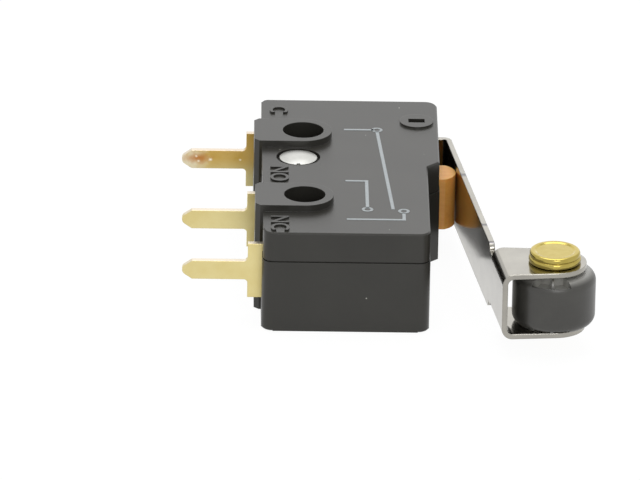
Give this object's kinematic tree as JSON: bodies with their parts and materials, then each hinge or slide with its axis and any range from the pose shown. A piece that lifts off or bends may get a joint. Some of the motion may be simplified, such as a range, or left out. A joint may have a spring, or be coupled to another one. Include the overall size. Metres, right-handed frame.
{
  "type": "lever micro switch",
  "caption": "Subminiature snap-action switch: moulded housing with mounting holes, sliding plunger, hinged roller lever, snap blade and straight board terminals.",
  "frame": {"origin": "centre of the mounting hole nearer to the normally closed end, on the flat back of the case", "axes": "+X from the terminal side to the plunger side, +Y from the normally closed end to the hinge end, +Z from the back of the case to its cover"},
  "size_m": [0.0233, 0.0234, 0.0064],
  "materials": {
    "case_plastic": "moulded, fine satin",
    "cover_plastic": "moulded, fine satin",
    "rivet_metal": "headed, satin",
    "plunger_plastic": "moulded, satin",
    "lever_steel": "rolled sheet, bright",
    "roller_plastic": "moulded, satin",
    "pin_brass": "turned, polished",
    "terminal_brass": "stamped, plated",
    "contact_silver": "headed silver alloy",
    "spring_copper": "rolled copper alloy"
  },
  "bodies": {
    "housing": {"case_base": "case_plastic", "cover": "cover_plastic", "cover_rivet": "rivet_metal", "com_terminal": "terminal_brass", "no_terminal": "terminal_brass", "nc_terminal": "terminal_brass", "no_contact": "contact_silver", "nc_contact": "contact_silver"},
    "lever": {"actuator_lever": "lever_steel", "roller_pin": "pin_brass"},
    "roller": {"roller": "roller_plastic"},
    "plunger": {"plunger": "plunger_plastic"},
    "snap_blade": {"movable_blade": "spring_copper", "moving_contact": "contact_silver", "bow_spring_lower": "spring_copper", "bow_spring_upper": "spring_copper"}
  },
  "joints": [
    {"name": "lever_pivot", "type": "hinge", "parent": "housing", "child": "lever", "pos_m": [0.00654, 0.0118, 0.003], "axis": [0, 0, -1], "range_deg": [0, 9.5], "stiffness_Nm_per_rad": 0.01, "springref_deg": -22.92},
    {"name": "roller_spin", "type": "hinge", "parent": "lever", "child": "roller", "pos_m": [0.01403, -0.00608, 0.0031], "axis": [0, 0, 1], "continuous": true},
    {"name": "plunger_slide", "type": "slide", "parent": "housing", "child": "plunger", "axis": [-1, 0, 0], "range_m": [0, 0.00066]},
    {"name": "blade_swing", "type": "hinge", "parent": "housing", "child": "snap_blade", "pos_m": [0.00425, 0.01303, 0.003], "axis": [0, 0, -1], "range_deg": [0, 2.4]}
  ],
  "couplings": [
    {"joint": "plunger_slide", "follows": "lever_pivot", "m_per_rad": 0.00395},
    {"joint": "blade_swing", "follows": "lever_pivot", "ratio": 0.25}
  ]
}
